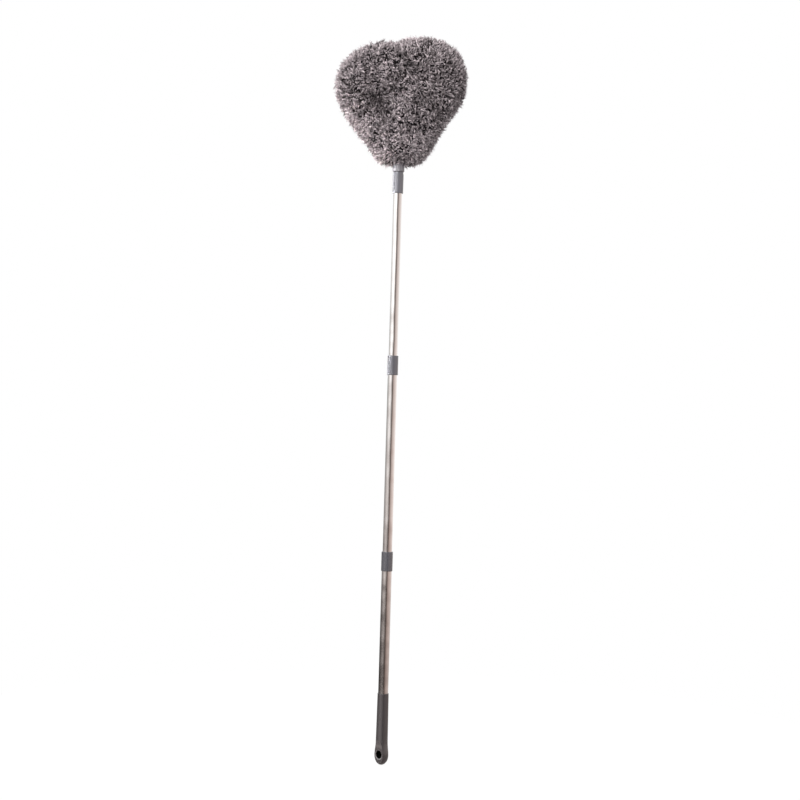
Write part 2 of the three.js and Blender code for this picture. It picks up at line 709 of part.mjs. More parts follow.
const upperFerrule = ferrule(middleTubeRadius, topTubeRadius, middleTubeTop);
const middleSection = new THREE.Group();
middleSection.add(piece('lower_lock_ring', lockRing(BOTTOM_TUBE_RADIUS, middleTubeFoot), lockPlastic));
middleSection.add(piece('lower_lock_plug', lockPlug(middleTubeRadius, middleTubeFoot), lockPlastic));
middleSection.add(piece('middle_tube', tube(middleTubeRadius, middleTubeFoot, MIDDLE_TUBE_LENGTH), steel));
middleSection.add(piece('upper_ferrule', upperFerrule, greyPlastic));

const topSection = new THREE.Group();
topSection.add(piece('upper_lock_ring', lockRing(middleTubeRadius, topTubeFoot), lockPlastic));
topSection.add(piece('upper_lock_plug', lockPlug(topTubeRadius, topTubeFoot), lockPlastic));
topSection.add(piece('top_tube', tube(topTubeRadius, topTubeFoot, TOP_TUBE_LENGTH), steel));
topSection.add(piece('top_connector', connector(), greyPlastic));

const head = new THREE.Group();
head.add(piece('head_socket', headSocket(), greyPlastic));
head.add(piece('crimp_sleeve', crimpSleeve(), wireSteel));
head.add(piece('wire_strand_a', wireStrand(0), wireSteel));
head.add(piece('wire_strand_b', wireStrand(Math.PI), wireSteel));
head.add(piece('fibre_pile', fibrePile(), fibre));
head.rotation.z = HEAD_TURN;

const duster = new THREE.Group();
duster.add(handleSection, middleSection, topSection, head);
duster.position.z = -HOLD_HEIGHT;

export default duster;
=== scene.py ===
"""Telescopic duster: the finish of its pole, grip and fibre head, with a plain studio and the camera.

Metres, +Z along the pole. The origin is on the pole's axis at the middle of the hand's hold.
"""

import math

import bpy
import numpy as np
from mathutils import Matrix, Vector, noise


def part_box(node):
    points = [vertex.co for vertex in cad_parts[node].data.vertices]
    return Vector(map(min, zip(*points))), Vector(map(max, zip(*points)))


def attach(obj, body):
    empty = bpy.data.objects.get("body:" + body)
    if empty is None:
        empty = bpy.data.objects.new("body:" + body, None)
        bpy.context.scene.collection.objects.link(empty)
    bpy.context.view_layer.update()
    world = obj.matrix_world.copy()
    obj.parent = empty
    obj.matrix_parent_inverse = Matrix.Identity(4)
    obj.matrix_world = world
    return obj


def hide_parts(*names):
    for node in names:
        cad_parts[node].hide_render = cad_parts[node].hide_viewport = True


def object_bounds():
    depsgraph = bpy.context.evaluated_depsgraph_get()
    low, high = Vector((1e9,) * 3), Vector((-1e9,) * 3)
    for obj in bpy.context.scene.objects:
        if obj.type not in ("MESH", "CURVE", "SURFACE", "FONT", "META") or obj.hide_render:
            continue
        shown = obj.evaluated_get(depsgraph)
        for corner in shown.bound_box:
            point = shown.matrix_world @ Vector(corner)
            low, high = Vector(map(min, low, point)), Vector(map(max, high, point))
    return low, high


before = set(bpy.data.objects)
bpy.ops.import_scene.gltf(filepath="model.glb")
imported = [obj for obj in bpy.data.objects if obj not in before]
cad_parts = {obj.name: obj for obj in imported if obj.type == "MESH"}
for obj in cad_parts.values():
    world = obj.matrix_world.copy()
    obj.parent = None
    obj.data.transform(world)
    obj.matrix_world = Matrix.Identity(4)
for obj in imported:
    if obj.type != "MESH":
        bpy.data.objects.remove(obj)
cad_low, cad_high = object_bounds()

# Camera
VIEW_TURN = math.radians(46)  # the flat of the head faces the camera
VIEW_DISTANCE = 3.2
VIEW_HEIGHT = 0.638
VIEW_ASIDE = 0.0165
VIEW_ROLL = math.radians(1.68)  # the pole leans this far to the right
LENS = 72.0

# Facets and edges of the turned pieces
SIDES = 96
SAME_PLACE = 1e-6
EDGE_ROUND = 0.0004
ROUND_STEPS = 3
CREASE = math.radians(38)

# Pole
TUBE_WALL = 0.0004
TUBE_ROUND = TUBE_WALL / 3
SLIDE_GAP = 0.0002  # radial, between tubes that telescope
PRESS_GAP = 0.00015  # radial, between pieces pushed together
SEAT_GAP = 0.0003  # along the pole, where one piece stops against another
FERRULE_SLEEVE = 0.027
EDGE_BEVEL = 0.0008

# Grip
GRIP_WAIST_RADIUS = 0.012
GRIP_WAIST_RISE = 0.046
GRIP_TOP_RADIUS = 0.0111
BULB_RISE = 0.020
PROFILE_STEPS = 12  # of the bulb's underside, and of its run into the waist
TUBE_SEAT_RISE = 0.050
EYE_HALF = 0.008  # half the thickness of the hang eye
HOLE_RADIUS = 0.0065
HOLE_RISE = 0.021
HOLE_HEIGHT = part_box("handle_grip")[0].z + HOLE_RISE
HOLE_BEVEL = 0.003
HOLE_SINK = 0.0016  # how deep the bevel goes
SCOOP_RISE = 0.031
SCOOP_RADIUS = 0.042
CUTTER_WIDTH = 0.048  # past the grip on both sides
CUT_BEYOND = 0.0005
GRIP_VOXEL = 0.0004
GRIP_SMOOTHING = {"factor": 0.5, "iterations": 5}
GRIP_FACES_KEPT = 0.4

# Connector and socket
CONNECTOR_RADIUS = 0.0108
CONNECTOR_FOOT_RADIUS = 0.0105
CONNECTOR_TOP_RADIUS = 0.0097
CONNECTOR_TAPER = 0.006
CONNECTOR_DEPTH = 0.030
CONNECTOR_WEB = 0.0124
STUD_RADIUS = 0.0065
STUD_BORE_RADIUS = 0.0035
STUD_CAP = 0.003
SOCKET_ROUND = 0.0022
SOCKET_ROUND_STEPS = 6
SOCKET_TAPER = 0.020
SOCKET_TOP_RADIUS = 0.009
THREAD_GAP = 0.0003
THREAD_DEPTH = 0.0197
CRIMP_DEPTH = 0.018
CRIMP_BORE_RADIUS = 0.0064
FLUTES = 18
FLUTE_RADIUS = 0.0012
FLUTE_DEPTH = 0.0004
FLUTE_LENGTH = 0.010
FLUTE_SIDES = 20
FLUTE_ROUND = 0.00015

# Wire heart inside the fibres: half widths, and heights above the connector's shoulder
STEM = (0.0031, 0.055)
LEG = (0.049, 0.113)
LOBE_SIDE = (0.083, 0.178)
LOBE_CROWN = (0.051, 0.218)
LOBE_INNER = (0.018, 0.204)
DIP_SIDE = (0.0121, 0.125)
DIP_HEIGHT = 0.118
HEART_LEAN = 0.085  # rise for each metre to the right
CURVE_STEPS = 40  # between two of these points
PATH_STEP = 0.002

# Fibres
FIBRE_REACH = 0.0475  # tips of the tufts, from the wire
REACH_SPREAD = 0.0018
# Where the pile is fuller, thinner, paler or darker: place across, height above the shoulder, breadth,
# change of reach, change of shade. The change of shade is painted light and shade: darker in hollows,
# partings and on the lobes, paler on the crowns, the middle run, over the stem and round the socket.
PILE = (
    (-0.065, 0.255, 0.040, -0.007, 0.05),  # crown of the left lobe
    (-0.048, 0.216, 0.018, 0.0, 0.20),  # below the left crown
    (0.020, 0.256, 0.018, 0.0, 0.25),  # crown of the right lobe
    (-0.082, 0.180, 0.036, 0.0, -0.15),  # left lobe
    (0.002, 0.254, 0.018, 0.0095, 0.0),  # between the lobes
    (0.105, 0.235, 0.030, 0.005, 0.0),  # shoulder of the right lobe
    (0.085, 0.180, 0.036, 0.0, -0.12),  # right lobe
    (0.012, 0.165, 0.014, 0.0, 0.20),  # middle run
    (-0.006, 0.108, 0.018, 0.002, 0.40),  # foot of the middle run
    (0.000, 0.058, 0.015, 0.007, 0.28),  # over the stem
    (-0.018, 0.168, 0.018, 0.0, -0.30),  # inner side of the left lobe
    (0.055, 0.035, 0.030, 0.008, 0.05),  # right foot
    (-0.046, 0.018, 0.022, 0.006, 0.0),  # left foot
    (0.000, 0.006, 0.022, -0.008, 0.10),  # round the socket
    (-0.050, 0.138, 0.020, -0.012, -0.40),  # hollow beside the left leg
    (-0.030, 0.114, 0.013, -0.004, -0.30),  # the hollow's lower end
    (0.056, 0.138, 0.018, -0.006, -0.28),  # hollow beside the right leg
    (0.070, 0.112, 0.018, -0.003, -0.22),  # the hollow's outer end
    (0.044, 0.082, 0.011, -0.004, -0.30),  # fold above the right foot
    (-0.006, 0.244, 0.008, 0.0, -0.30),  # parting at the notch
    (0.000, 0.228, 0.010, -0.010, -0.35),  # parting below the notch
    (0.020, 0.208, 0.010, -0.010, -0.35),  # the parting's lower end
    (0.030, 0.193, 0.009, -0.004, -0.30),  # the parting's foot
)
CORE_RADIUS = 0.033
CORE_PITCH = 6  # steps of the wire's line from one ball of the core to the next
BALL_SUBDIVISIONS = 3
CORE_VOXEL = 0.003
CORE_SMOOTHING = {"factor": 0.5, "iterations": 6}
FOOT_SPREAD = math.radians(76)  # how far the tufts fan down at the wire's feet
TUFT_TRIES = 120000
TUFT_PITCH = 0.0044  # least distance between tips
TRY_BATCHES = 40  # to spare memory
PARTING = 0.001  # fibres of neighbouring runs of wire stay this far from each other
FAR_ALONG = 0.085  # runs further apart than this along the wire are neighbours
TUFT_FREE = 0.013  # what stands out of the pile, at least
TUFT_LEAN = 0.7
LEAN_GRAIN = 34.0  # waves of the lean in a metre
LEAN_SPREAD = 0.65  # of single tufts, added to the waves
TUFT_BULGE_SPREAD = 0.45
STRANDS = 14  # in a tuft
STRAND_LENGTH = 0.022
STRAND_RADIUS = 0.00022
STRAND_RINGS = ((0.5, 1.0), (0.93, 0.85))  # share of the length, share of the radius
STRAND_CURLS = (8, 16, 26, 38, 50, 62)  # degrees
CURL_FROM = 0.2
STRAND_SPREAD = 0.0010
STRAND_BULGE_SPREAD = 0.2
ROOT_DEPTH = 0.003  # inside the core
ROOT_SPREAD = 0.0008
TIP_SPREAD = 0.00050
STRAY_SHARE = 0.10
STRAY_SPREAD = 0.004
STRAY_RISE = 0.002
SOCKET_CLEAR = 0.0005
FIBRE_PIECES = 10
SHADES = 64  # columns of the fibre's map, from dark to pale
COLUMN_MARGIN = 0.1
COLUMN_STEPS = 4  # across a column, taken in turn by the corners of a strand's faces
MIDDLE_SHADE = 0.5
PALEST_SHADE = 0.999
TUFT_SHADE_SPREAD = 0.28
STRAND_SHADE_SPREAD = 0.07
FIBRE_MAP = "OFBake"
SEED = 20

# Grains of the finishes: scale, detail, stretch
DRAWN_GRAIN = (60, 4, (16, 16, 0.12))
HANDLED_GRAIN = (38, 2, (1, 1, 0.4))
WAVER_GRAIN = (22, 1, (1.6, 1.6, 1.0))
FLOW_GRAIN = (24, 3, (1, 1, 0.35))
SPECK_GRAIN = (1500, 2)
TARNISH_GRAIN = (240, 4)
MAT_GRAIN = (700, 3)
DRAWN_DEPTH = 0.0000024  # of the fine lines along the steel
WAVER_DEPTH = 0.0012  # of the slow unevenness that makes reflections waver
SPECK_DEPTH = 0.00004
SPECK_STRENGTH = 0.25
MAT_DEPTH = 0.0015
MAT_STRENGTH = 0.8

# Colours of the finishes, from their dark to their light marks
STEEL_COLOURS = ((0.80, 0.785, 0.775, 1), (0.90, 0.885, 0.875, 1))
GREY_COLOURS = ((0.101, 0.100, 0.115, 1), (0.140, 0.139, 0.158, 1))
GRIP_COLOURS = ((0.046, 0.041, 0.044, 1), (0.066, 0.059, 0.063, 1))
# socket: partly its own lighter plastic, partly painted light for the light that the fibre head keeps off it
SOCKET_COLOURS = ((0.18, 0.173, 0.188, 1), (0.24, 0.231, 0.25, 1))
LOCK_COLOURS = ((0.022, 0.022, 0.024, 1), (0.040, 0.040, 0.042, 1))
WIRE_COLOURS = ((0.22, 0.20, 0.19, 1), (0.50, 0.48, 0.46, 1))
# painted shade: the core is as dark as the deep pile in shade
CORE_COLOURS = ((0.02, 0.017, 0.018, 1), (0.07, 0.06, 0.062, 1))
FIBRE_TINTS = ((0.38, 0.365, 0.365, 1), (1.46, 1.44, 1.45, 1))
FIBRE_STOPS = (  # along a strand, from its root to its tip; the dark root is painted shade of the deep pile
    (0, (0.008, 0.00716, 0.00732)),
    (0.48, (0.032, 0.0286, 0.0293)),
    (0.74, (0.255, 0.228, 0.233)),
    (1, (0.72, 0.644, 0.659)),
)

# Painted shade inside the hang hole and a painted highlight on its lower rim: distances from the hole's axis
HOLE_SHADE = 0.0073
HOLE_BLUR = 0.0016
RIM_START = 0.0087
RIM_END = 0.0098
RIM_BLUR = 0.0005
RIM_AT_TOP = 0.15  # what is left of the painted rim highlight at the top of the hole
HOLE_SHADE_COLOUR = (0.002, 0.0015, 0.0015, 1)
RIM_HIGHLIGHT_COLOUR = (0.46, 0.43, 0.43, 1)

# Floor
FLOOR_RADIUS = 1.1
FLOOR_DROP = 0.0005
FLOOR_COLOUR = (0.82, 0.82, 0.82, 1)
FLOOR_ROUGHNESS = 0.9
FLOOR_GLOW = 1.06
FLOOR_GLOW_SHARE = 0.9

# Lamps round the head: place to the right, ahead and up from the head's foot, rise of the aim, size, power
LAMPS = {
    "key": ((-0.60, -1.32, 0.95), 0.0, (0.9, 1.2), 32.0),
    "front": ((-0.15, -1.0, 0.1), 0.05, (0.4, 0.4), 4.0),
    "back_left": ((-0.95, 1.32, 0.3), 0.0, (0.9, 1.2), 16.0),
    "back_right": ((0.95, 1.32, 0.3), 0.0, (0.9, 1.2), 16.0),
}
SIDE_LAMP_HEIGHT = 0.90
SIDE_LAMP_AWAY = 0.9
SIDE_LAMP_SIZE = (0.2, 0.6)
SIDE_LAMP_POWER = 1.5
SIDE_LAMP_SPREAD = math.radians(28)

# Room in the steel's reflections. Its panels go by share of a turn, from behind the object over its left
# to the camera at one half, and on over its right.
PANELS = (
    (0.0, (0.60, 0.59, 0.58)),
    (0.14, (0.72, 0.71, 0.70)),
    (0.27, (1.2, 1.18, 1.17)),
    (0.38, (1.9, 1.86, 1.84)),
    (0.465, (1.1, 1.05, 1.03)),
    (0.515, (0.14, 0.115, 0.105)),
    (0.555, (0.20, 0.165, 0.15)),
    (0.60, (0.56, 0.475, 0.445)),
    (0.74, (0.84, 0.75, 0.715)),
    (0.86, (1.02, 0.97, 0.95)),
    (1.0, (1.1, 1.1, 1.1)),
)
# Its levels go by the rise of the reflected ray: from this rise, to this one, level at the first and the last
LEFT_LOW = (-0.17, -0.05, 0.06, 0.46)
LEFT_HIGH = (-0.04, 0.12, 0.0, 0.54)
RIGHT = (-0.22, -0.02, 0.42, 1.0)
LOW_GLOW = (-0.34, -0.25, 1.3, 0.0)
LOW_GLOW_FADE = (-0.55, -0.42, 0.35, 1.0)
WARMTH = (-0.16, 0.06, 1.0, 0.0)
LEFT_TO_RIGHT = (-0.2, 0.3)  # turn, in radians from the camera
WARM_TINT = (1.0, 0.89, 0.85, 1)
FILL = (0.2, 0.2, 0.202, 1)  # soft light on all that isn't mirrored
WHITE = (1, 1, 1, 1)

camera_right = Vector((math.cos(VIEW_TURN), math.sin(VIEW_TURN), 0))
camera_ahead = Vector((-math.sin(VIEW_TURN), math.cos(VIEW_TURN), 0))
UP = Vector((0, 0, 1))


# Shading

class Value:
    """A socket's value. Arithmetic on it adds Math nodes."""

    def __init__(self, nodes, socket):
        self.nodes = nodes
        self.socket = socket

    def maths(self, operation, first, second):
        return self.nodes.add("ShaderNodeMath", {"operation": operation}, {0: first, 1: second})

    def __add__(self, other):
        return self.maths("ADD", self, other)

    def __radd__(self, other):
        return self.maths("ADD", other, self)

    def __sub__(self, other):
        return self.maths("SUBTRACT", self, other)

    def __rsub__(self, other):
        return self.maths("SUBTRACT", other, self)

    def __mul__(self, other):
        return self.maths("MULTIPLY", self, other)

    def __rmul__(self, other):
        return self.maths("MULTIPLY", other, self)


class Nodes:
    """A node tree, with one way to add a node."""

    def __init__(self, tree):
        self.tree = tree

    def add(self, kind, settings=None, inputs=None, output=0):
        node = self.tree.nodes.new(kind)
        for name, setting in (settings or {}).items():
            if name == "stops":
                self.set_stops(node.color_ramp, setting)
            else:
                setattr(node, name, setting)
        for name, value in (inputs or {}).items():
            self.feed(node.inputs[name], value)
        return Value(self, node.outputs[output])

    def set_stops(self, ramp, stops):
        while len(ramp.elements) < len(stops):
            ramp.elements.new(1.0)
        for element, (place, colour) in zip(ramp.elements, stops):
            element.position = place
            element.color = (*colour, 1)

    def feed(self, socket, value):
        if isinstance(value, Value):
            self.tree.links.new(value.socket, socket)
        else:
            socket.default_value = value

    def spread(self, value, low, high, new_low=0.0, new_high=1.0):
        """value between low and high, taken smoothly to the new limits."""
        inputs = {"Value": value, "From Min": low, "From Max": high, "To Min": new_low, "To Max": new_high}
        return self.add("ShaderNodeMapRange", {"interpolation_type": "SMOOTHSTEP"}, inputs)

    def blend(self, share, first, second, kind="MIX"):
        settings = {"data_type": "RGBA", "blend_type": kind}
        return self.add("ShaderNodeMix", settings, {"Factor": share, "A": first, "B": second}, "Result")

    def measure(self, operation, first, second):
        """A number from two vectors."""
        return self.add("ShaderNodeVectorMath", {"operation": operation}, {0: first, 1: second}, "Value")

    def component(self, vector, axis):
        return self.add("ShaderNodeSeparateXYZ", {}, {0: vector}, axis)

    def ray_is(self, kind):
        return self.add("ShaderNodeLightPath", output=f"Is {kind} Ray")

    def place(self, scale=(1, 1, 1)):
        """Object coordinates, stretched by scale."""
        here = self.add("ShaderNodeTexCoord", output="Object")
        return self.add("ShaderNodeMapping", {}, {"Vector": here, "Scale": scale})

    def grain(self, scale, detail=3.0, stretch=(1, 1, 1)):
        inputs = {"Vector": self.place(stretch), "Scale": scale, "Detail": detail}
        return self.add("ShaderNodeTexNoise", {}, inputs)


class Finish(Nodes):
    """A surface material round one Principled shader."""

    def __init__(self, name, **constants):
        self.material = bpy.data.materials.new(name)
        self.material.use_nodes = True
        super().__init__(self.material.node_tree)
        self.shader = self.tree.nodes["Principled BSDF"]
        self.set(**constants)

    def set(self, **values):
        for name, value in values.items():
            self.feed(self.shader.inputs[name.replace("_", " ")], value)

    def bump(self, height, depth, strength=1.0):
        inputs = {"Height": height, "Distance": depth, "Strength": strength}
        self.set(Normal=self.add("ShaderNodeBump", {}, inputs))


def polished_steel():
    finish = Finish("polished_steel", Metallic=1.0)
    drawn = finish.grain(*DRAWN_GRAIN)
    handled = finish.grain(*HANDLED_GRAIN)
    waver = finish.grain(*WAVER_GRAIN)
    finish.set(Base_Color=finish.blend(drawn, *STEEL_COLOURS), Roughness=0.07 + 0.10 * handled + 0.05 * drawn)
    finish.bump(DRAWN_DEPTH * drawn + WAVER_DEPTH * waver, 1.0)
    return finish.material


def moulded_plastic(name, colours, roughness, hole=None):
    """Plastic with faint flow marks. In the hole at that height it has painted shade and a painted highlight
    on its lower rim.
    """
    finish = Finish(name, Specular_IOR_Level=1.0, IOR=1.6)
    flow = finish.grain(*FLOW_GRAIN)
    speck = finish.grain(*SPECK_GRAIN)
    colour = finish.blend(0.7 * flow + 0.3 * speck, *colours)
    roughness = roughness - 0.05 + 0.07 * flow + 0.03 * speck
    if hole is not None:
        here = finish.place((1, 0, 1))
        away = finish.measure("DISTANCE", here, (0, 0, hole))
        height = finish.component(here, "Z")
        # painted shade: dark colour, more roughness and metal inside the hole
        inside = finish.spread(away, HOLE_SHADE, HOLE_SHADE + HOLE_BLUR, 1.0, 0.0)
        # painted highlight: pale ring on the hole's bevel, fading towards its top
        rim = finish.spread(away, RIM_START, RIM_START + RIM_BLUR)
        rim = rim * finish.spread(away, RIM_END, RIM_END + RIM_BLUR, 1.0, 0.0)
        rim = rim * finish.spread(height, hole - HOLE_RADIUS, hole + HOLE_RADIUS, 1.0, RIM_AT_TOP)
        colour = finish.blend(rim, colour, RIM_HIGHLIGHT_COLOUR)
        colour = finish.blend(inside, colour, HOLE_SHADE_COLOUR)
        roughness = roughness + 0.5 * inside
        finish.set(Metallic=inside)  # painted shade: black metal takes the plastic's shine out of the hole
    finish.set(Base_Color=colour, Roughness=roughness)
    finish.bump(speck, SPECK_DEPTH, SPECK_STRENGTH)
    return finish.material


def wire_steel():
    finish = Finish("wire_steel", Metallic=1.0)
    tarnish = finish.grain(*TARNISH_GRAIN)
    finish.set(Base_Color=finish.blend(tarnish, *WIRE_COLOURS), Roughness=0.28 + 0.25 * tarnish)
    return finish.material


def fibre_finish():
    """Fibre that goes by its map: shade of the strand across it, and place along the strand up it."""
    finish = Finish("fibre", Specular_IOR_Level=0.2)
    lie = finish.add("ShaderNodeUVMap", {"uv_map": FIBRE_MAP})
    shade = finish.component(lie, "X")
    along = finish.component(lie, "Y")
    # painted shade: each strand darkens towards its root
    colour = finish.add("ShaderNodeValToRGB", {"stops": FIBRE_STOPS}, {0: along})
    # across the map: each strand's random tone with the pile's painted light and shade
    tint = finish.blend(shade, *FIBRE_TINTS)
    finish.set(Base_Color=finish.blend(1.0, colour, tint, "MULTIPLY"), Roughness=0.95 - 0.15 * along)
    return finish.material


def fibre_core_finish():
    finish = Finish("fibre_core", Roughness=0.95, Specular_IOR_Level=0.1)
    mat = finish.grain(*MAT_GRAIN)
    # painted shade: dark colour of the pile deep under the tufts
    finish.set(Base_Color=finish.blend(mat, *CORE_COLOURS))
    finish.bump(mat, MAT_DEPTH, MAT_STRENGTH)
    return finish.material


STEEL = polished_steel()
GREY = moulded_plastic("grey_plastic", GREY_COLOURS, 0.2)
# grip: painted shade in the hang hole and a painted highlight on its lower rim
GRIP = moulded_plastic("grip_plastic", GRIP_COLOURS, 0.3, HOLE_HEIGHT)
# lighter than the grey plastic: partly its own tone, partly painted light for the head's shade over it
SOCKET = moulded_plastic("socket_plastic", SOCKET_COLOURS, 0.2)
LOCK = moulded_plastic("lock_plastic", LOCK_COLOURS, 0.45)
WIRE = wire_steel()
FIBRE = fibre_finish()
FIBRE_CORE = fibre_core_finish()


# Modelling

def pick(obj):
    """Makes obj the one that the next operator works on."""
    bpy.ops.object.select_all(action="DESELECT")
    obj.select_set(True)
    bpy.context.view_layer.objects.active = obj


def start_edit(obj):
    pick(obj)
    bpy.ops.object.mode_set(mode="EDIT")
    bpy.ops.mesh.select_all(action="SELECT")


def end_edit():
    """Turns all faces outward and leaves edit mode."""
    bpy.ops.mesh.select_all(action="SELECT")
    bpy.ops.mesh.normals_make_consistent(inside=False)
    bpy.ops.object.mode_set(mode="OBJECT")


def apply_modifier(obj, kind, **settings):
    pick(obj)
    modifier = obj.modifiers.new(kind.lower(), kind)
    for name, setting in settings.items():
        setattr(modifier, name, setting)
    bpy.ops.object.modifier_apply(modifier=modifier.name)


def rings(profile):
    """A ring of the first radius, drawn from one (radius, height) to the next and left in edit mode."""
    bpy.ops.object.select_all(action="DESELECT")
    radius, height = profile[0]
    bpy.ops.mesh.primitive_circle_add(vertices=SIDES, radius=radius)
    obj = bpy.context.object
    start_edit(obj)
    bpy.ops.transform.translate(value=(0, 0, height))
    for new_radius, new_height in profile[1:]:
        bpy.ops.mesh.extrude_region_move(TRANSFORM_OT_translate={"value": (0, 0, new_height - height)})
        share = new_radius / radius
        bpy.ops.transform.resize(value=(share, share, 1), center_override=(0, 0, new_height))
        radius, height = new_radius, new_height
    return obj


def close_ring():
    """Joins the last ring to the first, which lies in the same place."""
    bpy.ops.mesh.select_all(action="SELECT")
    bpy.ops.mesh.remove_doubles(threshold=SAME_PLACE)
    end_edit()


def cap_ends():
    """Closes the first and the last ring with a flat face each."""
    bpy.ops.mesh.select_all(action="DESELECT")
    bpy.ops.mesh.select_non_manifold()
    bpy.ops.mesh.edge_face_add()
    end_edit()


def round_edges(obj, width=EDGE_ROUND):
    settings = {"width": width, "segments": ROUND_STEPS, "limit_method": "ANGLE", "angle_limit": CREASE}
    apply_modifier(obj, "BEVEL", **settings)
    bpy.ops.object.shade_smooth_by_angle(angle=CREASE)
    apply_modifier(obj, "WEIGHTED_NORMAL", keep_sharp=True)


def paint(obj, material):
    obj.data.materials.clear()
    obj.data.materials.append(material)


def fit(obj, name, body, material, node):
    """Names a finished piece, gives it its material and lets it stand for its node."""
    obj.name = name
    obj.data.name = name
    paint(obj, material)
    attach(obj, body)
    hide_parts(node)


def outer_radius(node):
    """Of a round node on the pole's axis."""
    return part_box(node)[1].x


# Pole

def steel_tube(node, body):
    low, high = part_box(node)
    radius = outer_radius(node)
    bore = radius - TUBE_WALL
    obj = rings([(bore, low.z), (radius, low.z), (radius, high.z), (bore, high.z), (bore, low.z)])
    close_ring()
    round_edges(obj, TUBE_ROUND)
    fit(obj, node + "_shell", body, STEEL, node)


def ferrule(node, outer_tube, inner_tube, body):
    low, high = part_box(node)
    radius = outer_radius(node)
    bore = outer_radius(outer_tube) + PRESS_GAP
    lip = outer_radius(inner_tube) + SLIDE_GAP
    seat = low.z + FERRULE_SLEEVE + SEAT_GAP
    obj = rings([
        (bore, low.z),
        (radius - EDGE_BEVEL, low.z),
        (radius, low.z + EDGE_BEVEL),
        (radius, high.z - EDGE_BEVEL),
        (radius - EDGE_BEVEL, high.z),
        (lip, high.z),
        (lip, seat),
        (bore, seat),
        (bore, low.z),
    ])
    close_ring()
    round_edges(obj)
    fit(obj, node + "_shell", body, GREY, node)


def connector():
    low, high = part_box("top_connector")
    bore = outer_radius("top_tube") + PRESS_GAP
    floor = low.z + CONNECTOR_DEPTH
    shoulder = floor + CONNECTOR_WEB
    obj = rings([
        (STUD_BORE_RADIUS, high.z - STUD_CAP),
        (STUD_BORE_RADIUS, floor),
        (bore, floor),
        (bore, low.z),
        (CONNECTOR_FOOT_RADIUS - EDGE_BEVEL / 2, low.z),
        (CONNECTOR_FOOT_RADIUS, low.z + EDGE_BEVEL),
        (CONNECTOR_RADIUS, floor),
        (CONNECTOR_RADIUS, shoulder - CONNECTOR_TAPER),
        (CONNECTOR_TOP_RADIUS, shoulder),
        (STUD_RADIUS, shoulder),
        (STUD_RADIUS, high.z - EDGE_BEVEL),
        (STUD_RADIUS - EDGE_BEVEL, high.z),
    ])
    cap_ends()
    round_edges(obj)
    fit(obj, "top_connector_shell", "top_section", GREY, "top_connector")


def socket():
    low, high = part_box("head_socket")
    radius = outer_radius("head_socket")
    thread = STUD_RADIUS + THREAD_GAP
    rim = []
    for step in range(SOCKET_ROUND_STEPS + 1):
        angle = math.pi / 2 * step / SOCKET_ROUND_STEPS
        out = radius - SOCKET_ROUND * (1 - math.sin(angle))
        rim.append((out, low.z + SOCKET_ROUND * (1 - math.cos(angle))))
    obj = rings([
        (thread, low.z + THREAD_DEPTH),
        (thread, low.z),
        *rim,
        (radius, high.z - SOCKET_TAPER),
        (SOCKET_TOP_RADIUS, high.z),
        (CRIMP_BORE_RADIUS, high.z),
        (CRIMP_BORE_RADIUS, high.z - CRIMP_DEPTH),
    ])
    cap_ends()
    cut(obj, flute_rods(radius, low.z + SOCKET_ROUND))
    round_edges(obj, FLUTE_ROUND)
    fit(obj, "head_socket_shell", "head", SOCKET, "head_socket")


def flute_rods(radius, foot):
    """Upright rods round the socket, each as deep in its wall as a flute."""
    away = radius + FLUTE_RADIUS - FLUTE_DEPTH
    middle = (away, 0, foot + FLUTE_LENGTH / 2)
    rods = cylinder(FLUTE_RADIUS, FLUTE_LENGTH, middle, sides=FLUTE_SIDES)
    bpy.ops.object.transform_apply(location=True, rotation=True, scale=True)
    start_edit(rods)
    more = FLUTES - 1
    turn = 2 * math.pi * more / FLUTES
    bpy.ops.mesh.spin(steps=more, dupli=True, angle=turn, center=(0, 0, 0), axis=(0, 0, 1))
    end_edit()
    return rods


# Grip

def grip_blank(tip, top, bulb):
    """Bulb with a round underside, drawn in to the slim handle."""
    profile = []
    for step in range(1, PROFILE_STEPS + 1):
        angle = math.pi / 2 * step / PROFILE_STEPS
        profile.append((bulb * math.sin(angle), tip + BULB_RISE * (1 - math.cos(angle))))
    for step in range(1, PROFILE_STEPS + 1):
        share = step / PROFILE_STEPS
        ease = share * share * (3 - 2 * share)
        rise = BULB_RISE + (GRIP_WAIST_RISE - BULB_RISE) * share
        profile.append((bulb + (GRIP_WAIST_RADIUS - bulb) * ease, tip + rise))
    profile.append((GRIP_TOP_RADIUS, top))
    obj = rings(profile)
    cap_ends()
    return obj


def cut(obj, cutter):
    apply_modifier(obj, "BOOLEAN", object=cutter, operation="DIFFERENCE", solver="EXACT")
    bpy.data.objects.remove(cutter)


def cylinder(radius, length, place, turn=(0, 0, 0), top_radius=None, sides=SIDES):
    """A cylinder, or a cone where it has a top radius."""
    bpy.ops.object.select_all(action="DESELECT")
    far_radius = radius if top_radius is None else top_radius
    bpy.ops.mesh.primitive_cone_add(
        vertices=sides, radius1=radius, radius2=far_radius, depth=length, location=place, rotation=turn
    )
    return bpy.context.object


